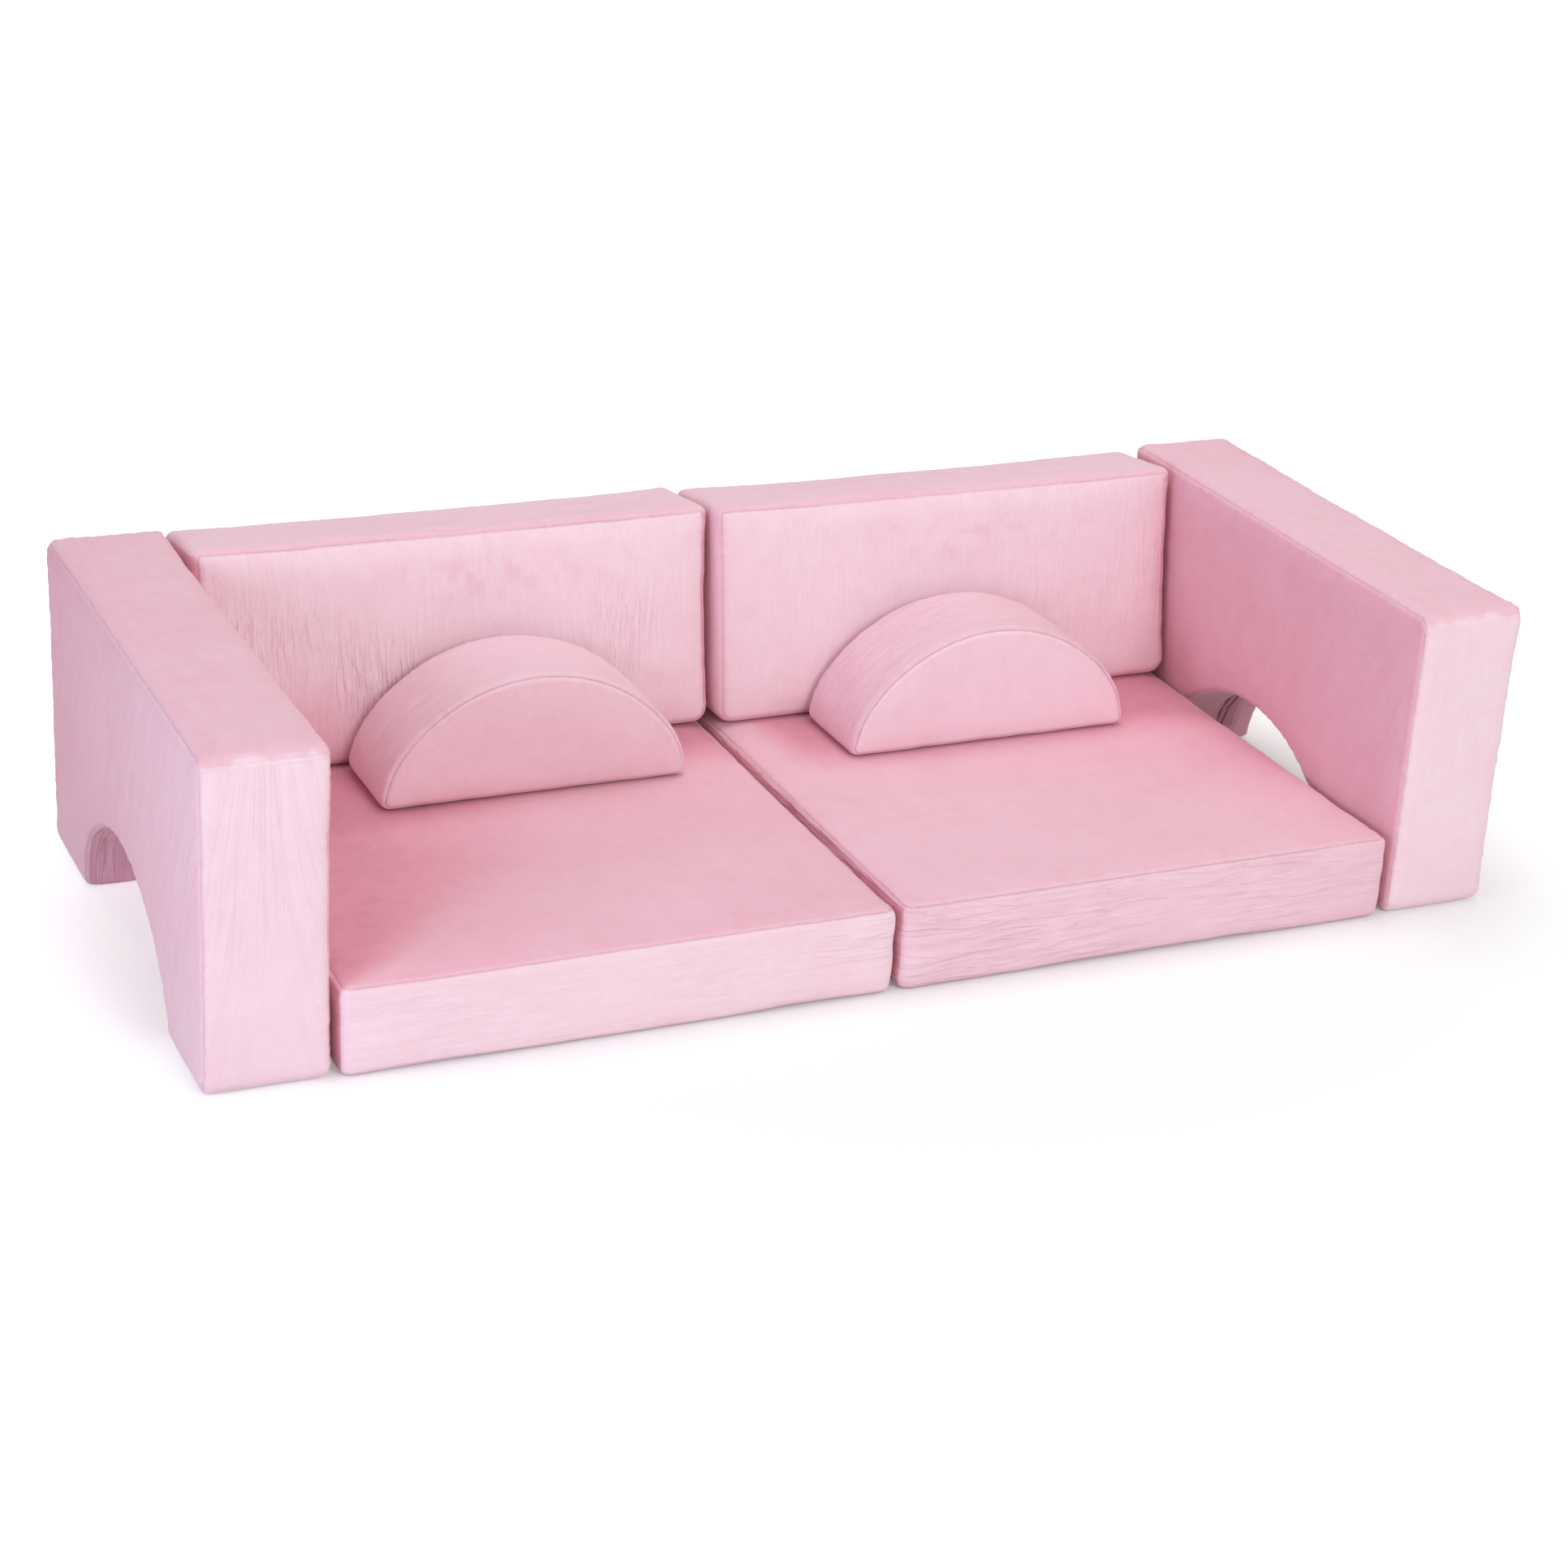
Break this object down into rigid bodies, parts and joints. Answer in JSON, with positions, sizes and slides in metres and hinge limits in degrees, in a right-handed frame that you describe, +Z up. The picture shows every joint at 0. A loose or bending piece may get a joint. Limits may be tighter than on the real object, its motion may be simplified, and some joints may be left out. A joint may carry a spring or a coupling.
{
  "type": "modular foam play sofa",
  "caption": "Low modular play sofa of loose foam blocks in velvet covers: arched arms, seat mats, raked backs and half-round cushions.",
  "frame": {"origin": "middle of the row's footprint, on the floor", "axes": "+X to the right seen from the front, -Y the front, +Z up"},
  "size_m": [1.744, 0.787, 0.42],
  "materials": {
    "velvet": "short-pile pink velvet over padding",
    "base_fabric": "matte woven base fabric",
    "foam": "cut polyurethane foam",
    "zip_tape": "woven tape with a nylon coil",
    "zip_slider": "small enamelled slider with no pull tab"
  },
  "bodies": {
    "left_seat": {"left_seat_foam_core": "foam", "left_seat_cover": "velvet", "left_seat_base_panel": "base_fabric", "left_seat_zip_tape": "zip_tape"},
    "left_seat_zip": {"left_seat_zip_slider": "zip_slider"},
    "left_arm": {"left_arm_foam_core": "foam", "left_arm_cover": "velvet", "left_arm_front_foot_panel": "base_fabric", "left_arm_rear_foot_panel": "base_fabric", "left_arm_zip_tape": "zip_tape"},
    "left_arm_zip": {"left_arm_zip_slider": "zip_slider"},
    "left_back": {"left_back_foam_core": "foam", "left_back_cover": "velvet", "left_back_base_panel": "base_fabric", "left_back_zip_tape": "zip_tape"},
    "left_back_zip": {"left_back_zip_slider": "zip_slider"},
    "left_half_round": {"left_half_round_foam_core": "foam", "left_half_round_cover": "velvet", "left_half_round_base_panel": "base_fabric", "left_half_round_zip_tape": "zip_tape"},
    "left_half_round_zip": {"left_half_round_zip_slider": "zip_slider"},
    "right_seat": {"right_seat_foam_core": "foam", "right_seat_cover": "velvet", "right_seat_base_panel": "base_fabric", "right_seat_zip_tape": "zip_tape"},
    "right_seat_zip": {"right_seat_zip_slider": "zip_slider"},
    "right_arm": {"right_arm_foam_core": "foam", "right_arm_cover": "velvet", "right_arm_front_foot_panel": "base_fabric", "right_arm_rear_foot_panel": "base_fabric", "right_arm_zip_tape": "zip_tape"},
    "right_arm_zip": {"right_arm_zip_slider": "zip_slider"},
    "right_back": {"right_back_foam_core": "foam", "right_back_cover": "velvet", "right_back_base_panel": "base_fabric", "right_back_zip_tape": "zip_tape"},
    "right_back_zip": {"right_back_zip_slider": "zip_slider"},
    "right_half_round": {"right_half_round_foam_core": "foam", "right_half_round_cover": "velvet", "right_half_round_base_panel": "base_fabric", "right_half_round_zip_tape": "zip_tape"},
    "right_half_round_zip": {"right_half_round_zip_slider": "zip_slider"}
  },
  "joints": [
    {"name": "left_arm_off", "type": "slide", "parent": "left_seat", "child": "left_arm", "axis": [-1, 0, 0], "range_m": [0, 0.4]},
    {"name": "left_back_off", "type": "slide", "parent": "left_seat", "child": "left_back", "axis": [0, 0.1305, 0.9914], "range_m": [0, 0.35]},
    {"name": "left_half_round_off", "type": "slide", "parent": "left_seat", "child": "left_half_round", "axis": [0, 0, 1], "range_m": [0, 0.33]},
    {"name": "right_seat_off", "type": "slide", "parent": "left_seat", "child": "right_seat", "axis": [1, 0, 0], "range_m": [0, 0.4]},
    {"name": "right_arm_off", "type": "slide", "parent": "right_seat", "child": "right_arm", "axis": [1, 0, 0], "range_m": [0, 0.4]},
    {"name": "right_back_off", "type": "slide", "parent": "right_seat", "child": "right_back", "axis": [0, 0.1305, 0.9914], "range_m": [0, 0.35]},
    {"name": "right_half_round_off", "type": "slide", "parent": "right_seat", "child": "right_half_round", "axis": [0, 0, 1], "range_m": [0, 0.33]},
    {"name": "left_seat_zip_run", "type": "slide", "parent": "left_seat", "child": "left_seat_zip", "axis": [1, 0, 0], "range_m": [0, 0.53]},
    {"name": "right_seat_zip_run", "type": "slide", "parent": "right_seat", "child": "right_seat_zip", "axis": [1, 0, 0], "range_m": [0, 0.53]},
    {"name": "left_back_zip_run", "type": "slide", "parent": "left_back", "child": "left_back_zip", "axis": [1, 0, 0], "range_m": [0, 0.53]},
    {"name": "right_back_zip_run", "type": "slide", "parent": "right_back", "child": "right_back_zip", "axis": [1, 0, 0], "range_m": [0, 0.53]},
    {"name": "left_half_round_zip_run", "type": "slide", "parent": "left_half_round", "child": "left_half_round_zip", "axis": [1, 0, 0], "range_m": [0, 0.27]},
    {"name": "right_half_round_zip_run", "type": "slide", "parent": "right_half_round", "child": "right_half_round_zip", "axis": [1, 0, 0], "range_m": [0, 0.27]},
    {"name": "left_arm_zip_run", "type": "hinge", "parent": "left_arm", "child": "left_arm_zip", "pos_m": [-0.7725, -0.01846, -0.09821], "axis": [1, 0, 0], "range_deg": [0, 77]},
    {"name": "right_arm_zip_run", "type": "hinge", "parent": "right_arm", "child": "right_arm_zip", "pos_m": [0.8165, -0.01846, -0.09821], "axis": [1, 0, 0], "range_deg": [0, 77]}
  ]
}
